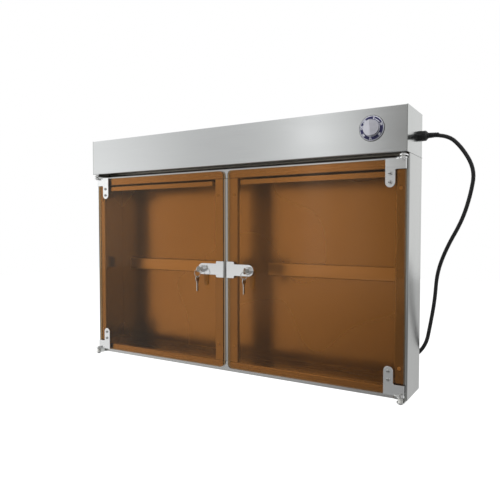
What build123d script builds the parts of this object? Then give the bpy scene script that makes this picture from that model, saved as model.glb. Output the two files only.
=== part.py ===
"""Wall cabinet that sterilizes kitchen knives with ultraviolet light.

A stainless head holds the timer and the lamp gear. Below it are two compartments, each with a tinted
acrylic door on pivots, a cam lock, a lamp behind a shade and a magnetic bar. Millimetres, +X to the
viewer's right, +Y towards the wall, +Z up. The origin is the centre of the wall-hanging holes, in the
plane of the wall.
"""

import os
from math import cos, hypot, pi, radians, sin, tan

from build123d import *

# Overall size and places
cabinet_width = 900.0
cabinet_height = 610.0
cabinet_depth = 125.0
wall_gap = 44.0
head_height = 95.0
head_overhang = 20.0
slot_height = 7.0

# Sheet metal
sheet = 1.5
bend_outside = 2.5
bend_inside = 1.0
fit = 0.2
flange_width = 28.0
flange_lip = 8.0
top_rail_height = 25.0
pan_front_height = 26.0
pan_upstand = 28.0
mullion_width = 68.0
mullion_tab_width = 52.0
mullion_tab_reach = 15.0
rear_flange = 20.0
liner_setback = 9.0

# Doors
door_thickness = 5.0
door_gap_behind = 2.0
door_side_inset = 7.0
door_centre_gap = 14.0
door_bottom_inset = 10.0
door_top_inset = 12.5
door_corner_radius = 10.0
door_edge_chamfer = 0.6
bumper_radius = 4.0
bumper_thickness = 1.7

# Hinges
plate = 2.0
plate_edge_chamfer = 0.5
bracket_leg_width = 21.0
bracket_leg_inset = 27.5
bracket_length = 60.0
bracket_arm_height = 22.5
bracket_wrap = 4.6
bracket_screw_pitch = 18.0
pivot_inset = 10.0
pivot_forward = 5.0
pivot_radius = 2.5
running_clearance = 0.05
eye_radius = 8.0
hinge_plate = 2.5
hinge_plate_hold = 28.0
tab_rise = 2.0
turning_gap = 0.4
pivot_head_radius = 4.6
pivot_head_height = 2.8
pivot_nut_height = 2.4

# Locks and keys
lock_offset = 69.0
lock_height = 257.0
lock_plate_wide = 26.8
lock_plate_tall = 41.0
lock_plate_narrow = 28.4
lock_plate_reach = 82.5
lock_plate_gap = 9.6
barrel_radius = 7.9
bezel_radius = 9.5
bezel_height = 7.0
plug_radius = 5.5
cam_length = 44.0
cam_width = 14.0
key_thickness = 1.9
key_bow_radius = 7.5
key_hole_radius = 2.0
key_hole_offset = 4.0
key_blade_length = 24.0
key_blade_height = 6.0
key_shoulder = 1.5
ring_radius = 9.0
ring_wire = 0.8
hanging_gap = 0.15

# Lamps, shades and magnetic bars
shade_inner = 42.0
shade_outer_inset = 51.0
shade_lip = 12.5
shade_gap = 3.5
lamp_radius = 8.0
lamp_length = 288.0
lamp_setback = 44.0
lamp_drop = 19.0
bar_height = 33.0
bar_depth = 12.0
bar_inner = 75.0
bar_outer_inset = 50.0
bar_standoff = 3.0
bar_sheet = 1.2
bar_level = 255.5

# Timer
timer_inset = 74.0
timer_drop = 42.5
dial_radius = 26.0
dial_thickness = 2.5
knob_radius = 16.5
knob_height = 12.0
knob_rim = 5.5
ridge_half = 1.2
timer_shaft_radius = 3.0
timer_box = 44.0
timer_box_depth = 38.0

# Wall rails
rail_sheet = 2.0
rail_end_inset = 50.0
hole_inset_x = 100.0
hole_inset_z = 25.0
hole_radius = 4.0
rail_height = 40.0

# Mains cord and plug
cord_diameter = 8.5
gland_radius = 12.0
gland_length = 16.0
gland_thread_radius = 8.0
gland_drop = 49.5
gland_setback = 106.0
coil_inset = 120.0
coil_radius = 52.0
coil_gap = 0.5
coil_front_y = -29.0
ledge_gap = 0.35
tie_width = 8.0
tie_thickness = 1.2
plug_radius_outer = 18.5

# Places worked out from the sizes above
half = cabinet_width / 2
top = cabinet_height / 2
bottom = -cabinet_height / 2
rear = -wall_gap
head_front = rear - cabinet_depth
front = head_front + head_overhang
head_floor = top - head_height
body_top = head_floor - slot_height
rail_bottom = body_top - top_rail_height
pan_lip = bottom + pan_front_height
back_front = rear - 2 * sheet
liner_front = rear - liner_setback
inner_half = half - sheet - fit
flange_inner = half - flange_width
door_rear = front - door_gap_behind
door_front = door_rear - door_thickness
door_outer = half - door_side_inset
door_inner = door_centre_gap / 2
door_low = bottom + door_bottom_inset
door_high = head_floor - door_top_inset
plate_front = door_front - plate
pivot_x = half - pivot_inset
pivot_y = plate_front - pivot_forward
lock_z = bottom + lock_height
bar_z = bottom + bar_level
shade_outer = half - shade_outer_inset
lamp_x = (shade_inner + shade_outer) / 2
lamp_y = front + lamp_setback
lamp_z = body_top - sheet - lamp_drop
timer_x = half - timer_inset
timer_z = top - timer_drop
rail_half = half - rail_end_inset
hole_x = half - hole_inset_x
hole_z = top - hole_inset_z
ledge_z = -hole_z + rail_height / 2
coil_x = half - coil_inset
gear_y = rear - 54
gland_y = head_front + gland_setback
gland_z = top - gland_drop

PROFILE_X = Plane(origin=(0, 0, 0), x_dir=(0, 1, 0), z_dir=(1, 0, 0))


def block(x0, x1, y0, y1, z0, z1):
    """A square-edged block between two corners."""
    return Pos((x0 + x1) / 2, (y0 + y1) / 2, (z0 + z1) / 2) * Box(x1 - x0, y1 - y0, z1 - z0)


def rod(axis, centre, radius, start, end):
    """A round rod along one axis, through a centre, between two places on that axis."""
    length = end - start
    middle = (start + end) / 2
    x, y, z = centre
    if axis == "x":
        return Pos(middle, y, z) * Rot(0, 90, 0) * Cylinder(radius, length)
    if axis == "y":
        return Pos(x, middle, z) * Rot(90, 0, 0) * Cylinder(radius, length)
    return Pos(x, y, middle) * Cylinder(radius, length)


def join(pieces):
    """One solid from pieces that touch."""
    total = pieces[0]
    for piece in pieces[1:]:
        total = total + piece
    return total


def group(pieces):
    """Separate solids that share a node."""
    solids = []
    for piece in pieces:
        solids.extend(piece.solids())
    return Compound(children=solids)


def both_sides(piece):
    """A piece and its mirror image about the middle of the cabinet."""
    return [mirror(piece, about=Plane.YZ), piece]


def offset_line(points, thickness):
    """The points of a line laid at a distance to the left of an open line of points."""
    moved = []
    for i, (x, y) in enumerate(points):
        normals = []
        for j in (i - 1, i):
            if 0 <= j < len(points) - 1:
                dx = points[j + 1][0] - points[j][0]
                dy = points[j + 1][1] - points[j][1]
                normals.append((-dy / hypot(dx, dy), dx / hypot(dx, dy)))
        nx = sum(n[0] for n in normals) / len(normals)
        ny = sum(n[1] for n in normals) / len(normals)
        scale = thickness / (nx * nx + ny * ny)
        moved.append((x + nx * scale, y + ny * scale))
    return moved


def folded(points, thickness, plane, start, end):
    """Folded sheet: its outside follows the points, its thickness lies on their left."""
    outside = []
    inside = []
    for before, here, after in zip(points, points[1:], points[2:]):
        turn = (here[0] - before[0]) * (after[1] - here[1])
        turn -= (here[1] - before[1]) * (after[0] - here[0])
        outside.append(bend_outside if turn > 0 else bend_inside)
        inside.append(bend_inside if turn > 0 else bend_outside)
    face_line = FilletPolyline(*points, radius=outside)
    back_line = FilletPolyline(*offset_line(points, thickness), radius=inside)
    edges = [face_line, Line(face_line @ 1, back_line @ 1), back_line, Line(back_line @ 0, face_line @ 0)]
    section = make_face([edge for line in edges for edge in line.edges()])
    solid = extrude(plane * section, amount=end - start, dir=plane.z_dir)
    return solid.moved(Location(plane.z_dir * start))


def panel(outline, y0, y1):
    """A flat outline drawn in the front view, made solid between two depths."""
    rear_face = Plane(origin=(0, y1, 0), x_dir=(1, 0, 0), z_dir=(0, -1, 0))
    return extrude(rear_face * outline, amount=y1 - y0, dir=(0, -1, 0))


# Carcass

def make_back_panel():
    """Flat sheet in front of the rear flanges, clear of their inside bends."""
    reach = inner_half - bend_inside
    return block(-reach, reach, back_front, rear - sheet, bottom, top)


def make_rear_liner():
    """Inner back wall: a shallow tray whose edges are folded back to the back panel."""
    low = bottom + sheet + fit
    high = body_top - sheet - fit
    tray = block(-inner_half, inner_half, liner_front, back_front, low, high)
    hollow = block(
        -inner_half + sheet, inner_half - sheet, liner_front + sheet, back_front + 1, low + sheet, high - sheet
    )
    return tray - hollow


def make_side_wall():
    """Right side: web, front flange with its return lip, and rear flange."""
    outline = [
        (flange_inner, front + flange_lip),
        (flange_inner, front),
        (half, front),
        (half, rear),
        (half - rear_flange, rear),
    ]
    wall = folded(outline, sheet, Plane.XY, bottom, head_floor - fit)
    above_flange = block(
        flange_inner - 1, half - sheet - 0.1, front - 1, front + flange_lip + 2, body_top, head_floor + 1
    )
    return wall - above_flange


def make_bottom_pan():
    """Floor with a front flange and a raised edge along the back and the sides."""
    upstand_face = liner_front - fit
    outline = [
        (front + flange_lip, pan_lip),
        (front, pan_lip),
        (front, bottom),
        (upstand_face, bottom),
        (upstand_face, bottom + pan_upstand),
    ]
    pan = folded(outline, sheet, PROFILE_X, -inner_half, inner_half)
    corner = front + flange_lip + fit
    for sign in (-1, 1):
        x_flange = sign * (flange_inner - fit)
        x_end = sign * (inner_half + 1)
        pan -= block(min(x_flange, x_end), max(x_flange, x_end), front - 1, corner, bottom - 1, pan_lip + 1)
        x_edge = sign * inner_half
        x_face = sign * (inner_half - sheet)
        pan += block(
            min(x_edge, x_face), max(x_edge, x_face), corner, upstand_face - sheet, bottom, bottom + pan_upstand
        )
    tab_half = mullion_tab_width / 2 + fit
    notch_low = pan_lip - sheet - bend_inside - fit
    return pan - block(-tab_half, tab_half, front + sheet, front + flange_lip + 1, notch_low, pan_lip + 1)


def make_ceiling():
    """Top of the compartments, folded down in front into the rail above the doors."""
    outline = [
        (back_front - fit, body_top),
        (front, body_top),
        (front, rail_bottom),
        (front + flange_lip, rail_bottom),
    ]
    ceiling = folded(outline, sheet, PROFILE_X, -inner_half, inner_half)
    corner = front + flange_lip + fit
    for sign in (-1, 1):
        x_flange = sign * (flange_inner - fit)
        x_end = sign * (inner_half + 1)
        ceiling -= block(
            min(x_flange, x_end), max(x_flange, x_end), front - 1, corner, rail_bottom - 1, body_top + 1
        )
    tab_half = mullion_tab_width / 2 + fit
    notch_high = rail_bottom + sheet + bend_inside + fit
    return ceiling - block(-tab_half, tab_half, front + sheet, front + flange_lip + 1, rail_bottom - 1, notch_high)


def make_mullion():
    """Centre post between the door openings, with tabs that fix behind the rail and the pan."""
    edge = mullion_width / 2
    outline = [
        (-edge, front + flange_lip),
        (-edge, front),
        (edge, front),
        (edge, front + flange_lip),
    ]
    post = folded(outline, sheet, Plane.XY, pan_lip + fit, rail_bottom - fit)
    tab_half = mullion_tab_width / 2
    tab = block(
        -tab_half, tab_half, front + sheet, front + 2 * sheet,
        pan_lip - mullion_tab_reach, rail_bottom + mullion_tab_reach,
    )
    return post + tab


# Head

def make_head_shell():
    """Front, top and underside of the head in one folded sheet."""
    outline = [
        (back_front - fit, top),
        (head_front, top),
        (head_front, head_floor),
        (back_front - fit, head_floor),
    ]
    shell = folded(outline, sheet, PROFILE_X, -inner_half, inner_half)
    bush_hole = rod("y", (timer_x, 0, timer_z), 5.3, head_front - 1, head_front + sheet + 1)
    return shell - bush_hole


def make_head_end(gland_hole):
    """Right end of the head; the cord's gland passes through one of the two."""
    outline = [(half, head_front), (half, rear), (half - rear_flange, rear)]
    end = folded(outline, sheet, Plane.XY, head_floor, top)
    if gland_hole:
        end -= rod("x", (0, gland_y, gland_z), gland_thread_radius + 0.1, half - sheet - 1, half + 1)
    return end


def make_slot_spacer():
    """Channel that carries the head at a set height above the compartments."""
    outline = [
        (front + 58, head_floor),
        (front + 42, head_floor),
        (front + 42, body_top),
        (front + 58, body_top),
    ]
    return folded(outline, sheet, PROFILE_X, -inner_half + 2, inner_half - 2)


def make_ballast(x):
    """Choke: a stack of laminations on a foot plate, with its winding showing at both sides."""
    floor = head_floor + sheet
    foot = block(x - 62, x + 62, gear_y - 22, gear_y + 22, floor, floor + 1.2)
    core = block(x - 42, x + 42, gear_y - 19, gear_y + 19, floor + 1.2, floor + 31)
    winding = block(x - 52, x + 52, gear_y - 12, gear_y + 12, floor + 6, floor + 26)
    winding = fillet(winding.edges().filter_by(Axis.X), 5)
    holes = [rod("z", (x + side * 56, gear_y, 0), 2.2, floor - 1, floor + 3) for side in (-1, 1)]
    return foot + core + winding - holes[0] - holes[1]


def make_starter(x):
    """Lamp starter standing in its round socket."""
    floor = head_floor + sheet
    socket = rod("z", (x, gear_y, 0), 14, floor, floor + 10)
    can = rod("z", (x, gear_y, 0), 10.5, floor + 10, floor + 42)
    can = fillet(can.edges().group_by(Axis.Z)[-1], 2)
    return socket + can


def make_terminal_block():
    """Row of screw terminals for the incoming cord."""
    floor = head_floor + sheet
    start = half - 150
    body = block(start, start + 60, gear_y - 9, gear_y + 9, floor, floor + 10)
    posts = [
        block(start + 1.5 + 10 * i, start + 8.5 + 10 * i, gear_y - 4, gear_y + 4, floor + 10, floor + 17)
        for i in range(6)
    ]
    body = join([body] + posts)
    for i in range(6):
        body -= rod("z", (start + 5 + 10 * i, gear_y, 0), 2, floor + 10, floor + 18)
    return body


# Timer

def make_timer_body():
    """Clockwork behind the head's front, with the threaded bush that clamps it there."""
    inside = head_front + sheet
    case = block(
        timer_x - timer_box / 2, timer_x + timer_box / 2, inside, inside + timer_box_depth,
        timer_z - timer_box / 2, timer_z + timer_box / 2,
    )
    case = fillet(case.edges().filter_by(Axis.Y), 4)
    bush = rod("y", (timer_x, 0, timer_z), 5, head_front - 1.5, inside)
    lugs = [
        block(timer_x - 20 + 15 * i, timer_x - 16 + 15 * i, inside + timer_box_depth,
              inside + timer_box_depth + 8, timer_z - 3, timer_z + 3)
        for i in range(3)
    ]
    bore = rod("y", (timer_x, 0, timer_z), timer_shaft_radius + running_clearance, head_front - 3, inside + 16)
    return join([case, bush] + lugs) - bore


def make_timer_dial():
    """Ring plate that carries the numbers, coned at its rim and open over the bush."""
    disc = rod("y", (timer_x, 0, timer_z), dial_radius, head_front - dial_thickness, head_front)
    disc = chamfer(disc.edges().group_by(Axis.Y)[0], 1.2)
    return disc - rod("y", (timer_x, 0, timer_z), 6, head_front - 5, head_front + 1)


def make_timer_knob():
    """Round knob on the timer's shaft, its face cut to a low upright ridge by two slopes."""
    back = head_front - dial_thickness - 0.3
    face = back - knob_height
    grip = rod("y", (timer_x, 0, timer_z), knob_radius, face, back)
    for side in (-1, 1):
        slope = [
            (timer_x + side * ridge_half, face - 1),
            (timer_x + side * ridge_half, face),
            (timer_x + side * (knob_radius + 1), back - knob_rim),
            (timer_x + side * (knob_radius + 1), face - 1),
        ]
        cutter = extrude(make_face(Polyline(*slope, close=True)), amount=3 * knob_radius, dir=(0, 0, 1))
        grip -= cutter.moved(Location((0, 0, timer_z - 1.5 * knob_radius)))
    grip = chamfer(grip.edges().group_by(Axis.Y)[-1], 0.6)
    shaft = rod("y", (timer_x, 0, timer_z), timer_shaft_radius, back, head_front + sheet + 14)
    pointer = block(timer_x - 0.5, timer_x + 0.5, face - 0.01, face + 0.7, timer_z + 4, timer_z + knob_radius + 1)
    return grip + shaft - pointer


# Hinges

def make_hinge_plate(level):
    """Fixed plate on the carcass with a round eye that stands forward over the pivot."""
    back = front + flange_lip + 2 + hinge_plate_hold
    eye = Pos(pivot_x, pivot_y) * Circle(eye_radius)
    arm = Pos(pivot_x, (pivot_y + back) / 2) * Rectangle(2 * eye_radius, back - pivot_y)
    body = Pos(0, 0, level) * extrude(eye + arm, amount=hinge_plate)
    hole = rod("z", (pivot_x, pivot_y, 0), pivot_radius, level - 1, level + hinge_plate + 1)
    fixings = [
        rod("z", (pivot_x, back - 6 - 14 * i, 0), 2.1, level - 1, level + hinge_plate + 1)
        for i in range(2)
    ]
    return body - hole - fixings[0] - fixings[1]


top_plate_low = body_top
top_tab_high = door_high + tab_rise
bottom_tab_low = door_low
bottom_plate_low = bottom - hinge_plate


def pivot_screw(head_base, tip, direction):
    """Shoulder screw with a domed, cross-slotted head and a nut that traps the moving eye."""
    far = head_base + direction * pivot_head_height
    head = rod("z", (pivot_x, pivot_y, 0), pivot_head_radius, min(head_base, far), max(head_base, far))
    crown = head.edges().group_by(Axis.Z)[-1 if direction > 0 else 0]
    head = fillet(crown, 1.4)
    arms = (
        block(pivot_x - 2.6, pivot_x + 2.6, pivot_y - 0.5, pivot_y + 0.5, far - 1.2, far + 1.2),
        block(pivot_x - 0.5, pivot_x + 0.5, pivot_y - 2.6, pivot_y + 2.6, far - 1.2, far + 1.2),
    )
    shank = rod("z", (pivot_x, pivot_y, 0), pivot_radius, min(head_base, tip), max(head_base, tip))
    nut_end = tip + direction * pivot_nut_height
    hexagon = Pos(pivot_x, pivot_y, min(tip, nut_end)) * RegularPolygon(4.2, 6)
    nut = extrude(hexagon, amount=pivot_nut_height)
    return head - arms[0] - arms[1] + shank + nut


def make_pivot_screws():
    upper_tip = top_tab_high - plate - turning_gap - pivot_nut_height
    upper = pivot_screw(top_plate_low + hinge_plate, upper_tip, 1)
    lower_tip = bottom_tab_low + plate + turning_gap + pivot_nut_height
    lower = pivot_screw(bottom_plate_low, lower_tip, -1)
    return group(both_sides(upper) + both_sides(lower))


def make_pivot_bushes():
    """Bushes that carry each door on its lower hinge plate and space it from the upper one."""
    base = bottom_plate_low + hinge_plate
    bush = rod("z", (pivot_x, pivot_y, 0), 5, base, bottom_tab_low - 0.1)
    bush -= rod("z", (pivot_x, pivot_y, 0), pivot_radius, base - 1, bottom_tab_low + 1)
    collar = rod("z", (pivot_x, pivot_y, 0), 4, top_tab_high + 0.1, top_plate_low)
    collar -= rod("z", (pivot_x, pivot_y, 0), pivot_radius, top_tab_high - 1, top_plate_low + 1)
    return group(both_sides(bush) + both_sides(collar))


def make_door_bracket(edge_z, inward):
    """Angle plate on the door's corner: leg, arm, a lip round the door's edge and the pivot's eye."""
    leg_left = half - bracket_leg_inset - bracket_leg_width
    leg_right = half - bracket_leg_inset
    arm_right = door_outer + 0.3 + plate
    tip = edge_z + inward * bracket_length
    arm_edge = edge_z + inward * bracket_arm_height
    round_z = tip - inward * bracket_leg_width / 2
    leg = Pos((leg_left + leg_right) / 2, (edge_z + round_z) / 2) * Rectangle(bracket_leg_width, abs(round_z - edge_z))
    leg_end = Pos((leg_left + leg_right) / 2, round_z) * Circle(bracket_leg_width / 2)
    arm = Pos((leg_left + arm_right) / 2, (edge_z + arm_edge) / 2) * Rectangle(arm_right - leg_left, bracket_arm_height)
    face = leg + leg_end + arm
    inner_corner = face.vertices().sort_by(lambda v: (v.X - leg_right) ** 2 + (v.Y - arm_edge) ** 2)[0]
    face = fillet(inner_corner, 3)
    bracket = panel(face, plate_front, door_front)
    free_edges = bracket.edges().group_by(Axis.Y)[0].filter_by(lambda e: e.center().X < arm_right - 0.1)
    bracket = chamfer(free_edges.filter_by(lambda e: abs(e.center().Z - edge_z) > 0.1), plate_edge_chamfer)
    lip = block(
        door_outer + 0.3, arm_right, plate_front, door_front + bracket_wrap, min(edge_z, arm_edge), max(edge_z, arm_edge)
    )
    bracket = bracket + lip
    outer_bend = bracket.edges().filter_by(Axis.Z).sort_by(lambda e: (e.center().X - arm_right) ** 2
                                                           + (e.center().Y - plate_front) ** 2)[0]
    bracket = fillet(outer_bend, 1.9)
    tab_points = [
        (leg_right + 0.5, plate_front + plate / 2),
        (arm_right - 2, plate_front + plate / 2),
        (pivot_x + eye_radius, pivot_y),
        (pivot_x - eye_radius, pivot_y),
    ]
    tab_plan = make_face(Polyline(*tab_points, close=True)) + Pos(pivot_x, pivot_y) * Circle(eye_radius)
    tab_plan -= Pos(pivot_x, door_front + eye_radius) * Rectangle(4 * eye_radius, 2 * eye_radius)
    tab_low = min(edge_z, edge_z + inward * plate)
    bracket += Pos(0, 0, tab_low) * extrude(tab_plan, amount=plate)
    bracket -= rod("z", (pivot_x, pivot_y, 0), pivot_radius + running_clearance, tab_low - 1, tab_low + plate + 1)
    for step in (0, 1):
        bracket -= rod("y", (leg_left + bracket_leg_width / 2 + 0.8, 0, round_z - inward * bracket_screw_pitch * step),
                       2.2, plate_front - 1, door_front + 1)
    return bracket


def bracket_screw_places():
    """Front-view places of one door's bracket screws."""
    x = half - bracket_leg_inset - bracket_leg_width / 2 + 0.8
    places = []
    for edge_z, inward in ((top_tab_high, -1), (bottom_tab_low, 1)):
        round_z = edge_z + inward * (bracket_length - bracket_leg_width / 2)
        places += [(x, round_z), (x, round_z - inward * bracket_screw_pitch)]
    return places


def make_bracket_screws():
    """Pan-head screws and the nuts behind the door."""
    pieces = []
    for x, z in bracket_screw_places():
        head = rod("y", (x, 0, z), 3.9, plate_front - 2.2, plate_front)
        head = fillet(head.edges().group_by(Axis.Y)[0], 1.3)
        shank = rod("y", (x, 0, z), 2, plate_front, door_rear + 1.2)
        nut = panel(Pos(x, z) * RegularPolygon(3.6, 6), door_rear, door_rear + 1.2)
        for wide, tall in ((4.4, 0.9), (0.9, 4.4)):
            head -= block(x - wide / 2, x + wide / 2, plate_front - 3, plate_front - 1.2, z - tall / 2, z + tall / 2)
        pieces.append(head + shank + nut)
    return group(pieces)


def make_door_panel():
    """Right door: tinted acrylic, rounded at the two corners by the mullion, drilled for its fittings."""
    width = door_outer - door_inner
    height = door_high - door_low
    outline = Pos((door_outer + door_inner) / 2, (door_high + door_low) / 2) * Rectangle(width, height)
    rounded = outline.vertices().filter_by_position(Axis.X, door_inner - 0.1, door_inner + 0.1)
    outline = fillet(rounded, door_corner_radius)
    outline -= Pos(lock_offset, lock_z) * Circle(barrel_radius + 0.3)
    for x, z in bracket_screw_places():
        outline -= Pos(x, z) * Circle(2.2)
    door = panel(outline, door_front, door_rear)
    front_rim = door.faces().sort_by(Axis.Y)[0].outer_wire().edges()
    return chamfer(front_rim, door_edge_chamfer)


def make_bumpers():
    """Clear pads that the doors close on."""
    pads = []
    for x in (mullion_width / 2 - 10, half - flange_width / 2 - 3):
        for z in (pan_lip + 40, rail_bottom - 40):
            pad = rod("y", (x, 0, z), bumper_radius, front - bumper_thickness, front)
            pads += both_sides(fillet(pad.edges().group_by(Axis.Y)[0], 0.8))
    return group(pads)


# Locks

def make_lock_plate():
    """Plate on the door that covers half the gap, wide there and narrow round the lock."""
    inner = lock_plate_gap / 2
    wide = Pos((inner + lock_plate_wide) / 2, lock_z) * Rectangle(lock_plate_wide - inner, lock_plate_tall)
    wide = fillet(wide.vertices().filter_by_position(Axis.X, inner - 1, inner + 1), 1.5)
    end_radius = lock_plate_narrow / 2
    straight = lock_plate_reach - end_radius
    arm = Pos((inner + straight) / 2, lock_z) * Rectangle(straight - inner, lock_plate_narrow)
    outline = wide + arm + Pos(straight, lock_z) * Circle(end_radius)
    steps = outline.vertices().filter_by_position(Axis.X, lock_plate_wide - 0.5, lock_plate_wide + 0.5)
    outline = fillet(steps, 2.5)
    outline -= Pos(lock_offset, lock_z) * Circle(barrel_radius + 0.1)
    covering = panel(outline, plate_front, door_front)
    front_rim = covering.faces().sort_by(Axis.Y)[0].outer_wire().edges()
    return chamfer(front_rim, plate_edge_chamfer)


barrel_end = door_rear + 11.0
plug_face = plate_front - bezel_height - 0.4


def make_lock_housing():
    """Barrel with a domed bezel in front and a hexagonal nut behind the door."""
    spot = (lock_offset, 0, lock_z)
    bezel = rod("y", spot, bezel_radius, plate_front - bezel_height, plate_front)
    bezel = fillet(bezel.edges().group_by(Axis.Y)[0], 2.4)
    barrel = rod("y", spot, barrel_radius, plate_front, barrel_end)
    bore = rod("y", spot, plug_radius + running_clearance, plate_front - bezel_height - 1, barrel_end + 1)
    nut = panel(Pos(lock_offset, lock_z) * (RegularPolygon(12, 6) - Circle(barrel_radius)), door_rear, door_rear + 4)
    return group([bezel + barrel - bore, nut])


def make_lock_plug():
    """Turning core with its keyway and the square that drives the cam."""
    spot = (lock_offset, 0, lock_z)
    core = rod("y", spot, plug_radius, plug_face, barrel_end + 0.5)
    square = block(lock_offset - 3.5, lock_offset + 3.5, barrel_end, barrel_end + 2.6, lock_z - 3.5, lock_z + 3.5)
    keyway = block(
        lock_offset - 1.1, lock_offset + 1.1, plug_face - 1, plug_face + key_blade_length - 1,
        lock_z - key_blade_height / 2 - 0.3, lock_z + key_blade_height / 2 + 0.3,
    )
    return core + square - keyway


def make_lock_cam():
    """Flat arm behind the door, hanging down when unlocked, with the screw that holds it."""
    low = barrel_end + 0.6
    reach = cam_length - cam_width / 2
    outline = Pos(lock_offset, lock_z - reach / 2) * Rectangle(cam_width, reach)
    outline += Pos(lock_offset, lock_z) * Circle(cam_width / 2)
    outline += Pos(lock_offset, lock_z - reach) * Circle(cam_width / 2)
    outline -= Pos(lock_offset, lock_z) * Rectangle(7.1, 7.1)
    arm = panel(outline, low, low + 2)
    screw = rod("y", (lock_offset, 0, lock_z), 4.5, low + 2, low + 4.4)
    screw = fillet(screw.edges().group_by(Axis.Y)[-1], 1)
    return group([arm, screw])


def key_outline():
    """A key seen from its side: bow centre at the origin, blade along +X."""
    bow = Circle(key_bow_radius) - Pos(-key_hole_offset, 0) * Circle(key_hole_radius)
    neck_end = key_bow_radius + key_shoulder
    neck = Pos(neck_end / 2 + 2, 0) * Rectangle(neck_end - 4, 8.4)
    blade = Pos(neck_end + key_blade_length / 2 - 1, 0) * Rectangle(key_blade_length - 2, key_blade_height)
    outline = bow + neck + blade
    for i, depth in enumerate((1.6, 2.4, 1.2, 2.0)):
        place = neck_end + 4 + 4.2 * i
        outline -= Pos(place, key_blade_height / 2) * Rot(0, 0, 45) * Rectangle(depth, depth)
    return outline


key_neck = key_bow_radius + key_shoulder
bow_y = plug_face - 0.3 - key_neck
ring_y = bow_y - key_hole_offset
ring_top = lock_z - key_hole_radius + ring_wire + hanging_gap
ring_bottom = ring_top - 2 * ring_radius


def solid_key():
    return Pos(0, 0, -key_thickness / 2) * extrude(key_outline(), amount=key_thickness)


def make_key():
    """Key in the lock, its flat bow upright."""
    upright = Plane(origin=(lock_offset, bow_y, lock_z), x_dir=(0, 1, 0), z_dir=(1, 0, 0))
    return upright.location * solid_key()


def make_key_ring():
    """Split ring through the bow, and the spare key that hangs on it."""
    centre = (lock_offset, ring_y, ring_top - ring_radius)
    ring = Pos(*centre) * Rot(90, 0, 0) * Torus(ring_radius, ring_wire)
    spare_z = ring_bottom + ring_wire + hanging_gap - key_hole_radius - key_hole_offset
    hanging = Plane(origin=(lock_offset, ring_y, spare_z), x_dir=(0, 0, -1), z_dir=(1, 0, 0))
    return group([ring, hanging.location * solid_key()])


# Inside the compartments

def make_lamp_shade():
    """Reflector over the lamp, whose front lip shows below the rail."""
    lip_top = rail_bottom - shade_gap
    under = body_top - sheet
    outline = [
        (lamp_y + 32, under - 24),
        (lamp_y + 20, under),
        (lamp_y - 20, under),
        (lamp_y - 32, lip_top),
        (front, lip_top),
        (front, lip_top - shade_lip),
    ]
    return folded(outline, sheet, PROFILE_X, shade_inner, shade_outer)


def make_lamp():
    """Germicidal tube with its metal end caps and contact pins."""
    centre = (0, lamp_y, lamp_z)
    start = lamp_x - lamp_length / 2
    end = lamp_x + lamp_length / 2
    tube = rod("x", centre, lamp_radius - 0.3, start + 7, end - 7)
    caps = [rod("x", centre, lamp_radius, start, start + 7), rod("x", centre, lamp_radius, end - 7, end)]
    pins = []
    for z in (lamp_z - 2.4, lamp_z + 2.4):
        pins.append(rod("x", (0, lamp_y, z), 1.1, start - 6, start))
        pins.append(rod("x", (0, lamp_y, z), 1.1, end, end + 6))
    return join([tube] + caps + pins)


def make_lamp_holders():
    """Sockets that carry each lamp by its pins."""
    holders = []
    top_face = body_top - 2 * sheet
    for side in (-1, 1):
        face = lamp_x + side * (lamp_length / 2 + 0.3)
        outer = face + side * 11
        plan = Pos(lamp_y, lamp_z) * Circle(11) + Pos(lamp_y, (lamp_z + top_face) / 2) * Rectangle(18, top_face - lamp_z)
        body = extrude(PROFILE_X * plan, amount=11, dir=(1, 0, 0)).moved(Location((min(face, outer), 0, 0)))
        for z in (lamp_z - 2.4, lamp_z + 2.4):
            pin_end = face + side * 6.5
            body -= rod("x", (0, lamp_y, z), 1.3, min(face, pin_end) - 0.5, max(face, pin_end) + 0.5)
        holders += both_sides(body)
    return group(holders)


bar_outer = half - bar_outer_inset
bar_rear = liner_front - bar_standoff
bar_front = bar_rear - bar_depth


def make_knife_bar():
    """Stainless cover of the magnetic bar, closed at its ends."""
    low = bar_z - bar_height / 2
    high = bar_z + bar_height / 2
    outline = [(bar_rear, high), (bar_front, high), (bar_front, low), (bar_rear, low)]
    cover = folded(outline, bar_sheet, PROFILE_X, bar_inner, bar_outer)
    ends = [
        block(x, x + bar_sheet, bar_front + bar_sheet, bar_rear, low + bar_sheet, high - bar_sheet)
        for x in (bar_inner, bar_outer - bar_sheet)
    ]
    return cover + ends[0] + ends[1]


def make_bar_magnets():
    """Magnet strips that fill the covers."""
    gap = bar_sheet + fit
    strip = block(
        bar_inner + gap, bar_outer - gap, bar_front + gap, bar_rear,
        bar_z - bar_height / 2 + gap, bar_z + bar_height / 2 - gap,
    )
    strip = fillet(strip.edges().filter_by(Axis.X).group_by(Axis.Y)[0], bend_inside)
    return group(both_sides(strip))


def make_bar_standoffs():
    """Round spacers between the bars and the inner back wall."""
    spacers = []
    for x in (bar_inner + 50, bar_outer - 50):
        spacers += both_sides(rod("y", (x, 0, bar_z), 7, bar_rear, liner_front))
    return group(spacers)


# Wall rails

hook_lip_high = hole_z - 14
hook_shelf = hook_lip_high - 14


def drill_rail(rail, z):
    """Two round holes for the wall screws."""
    for x in (-hole_x, hole_x):
        rail -= rod("y", (x, 0, z), hole_radius, -rail_sheet - 1, 1)
    return rail


def make_wall_rail_upper():
    """Trough on the wall that the cabinet hooks over."""
    outline = [
        (rear + 6, hook_lip_high),
        (rear + 6, hook_shelf),
        (0, hook_shelf),
        (0, hole_z + 16),
    ]
    return drill_rail(folded(outline, rail_sheet, PROFILE_X, -rail_half, rail_half), hole_z)


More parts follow.
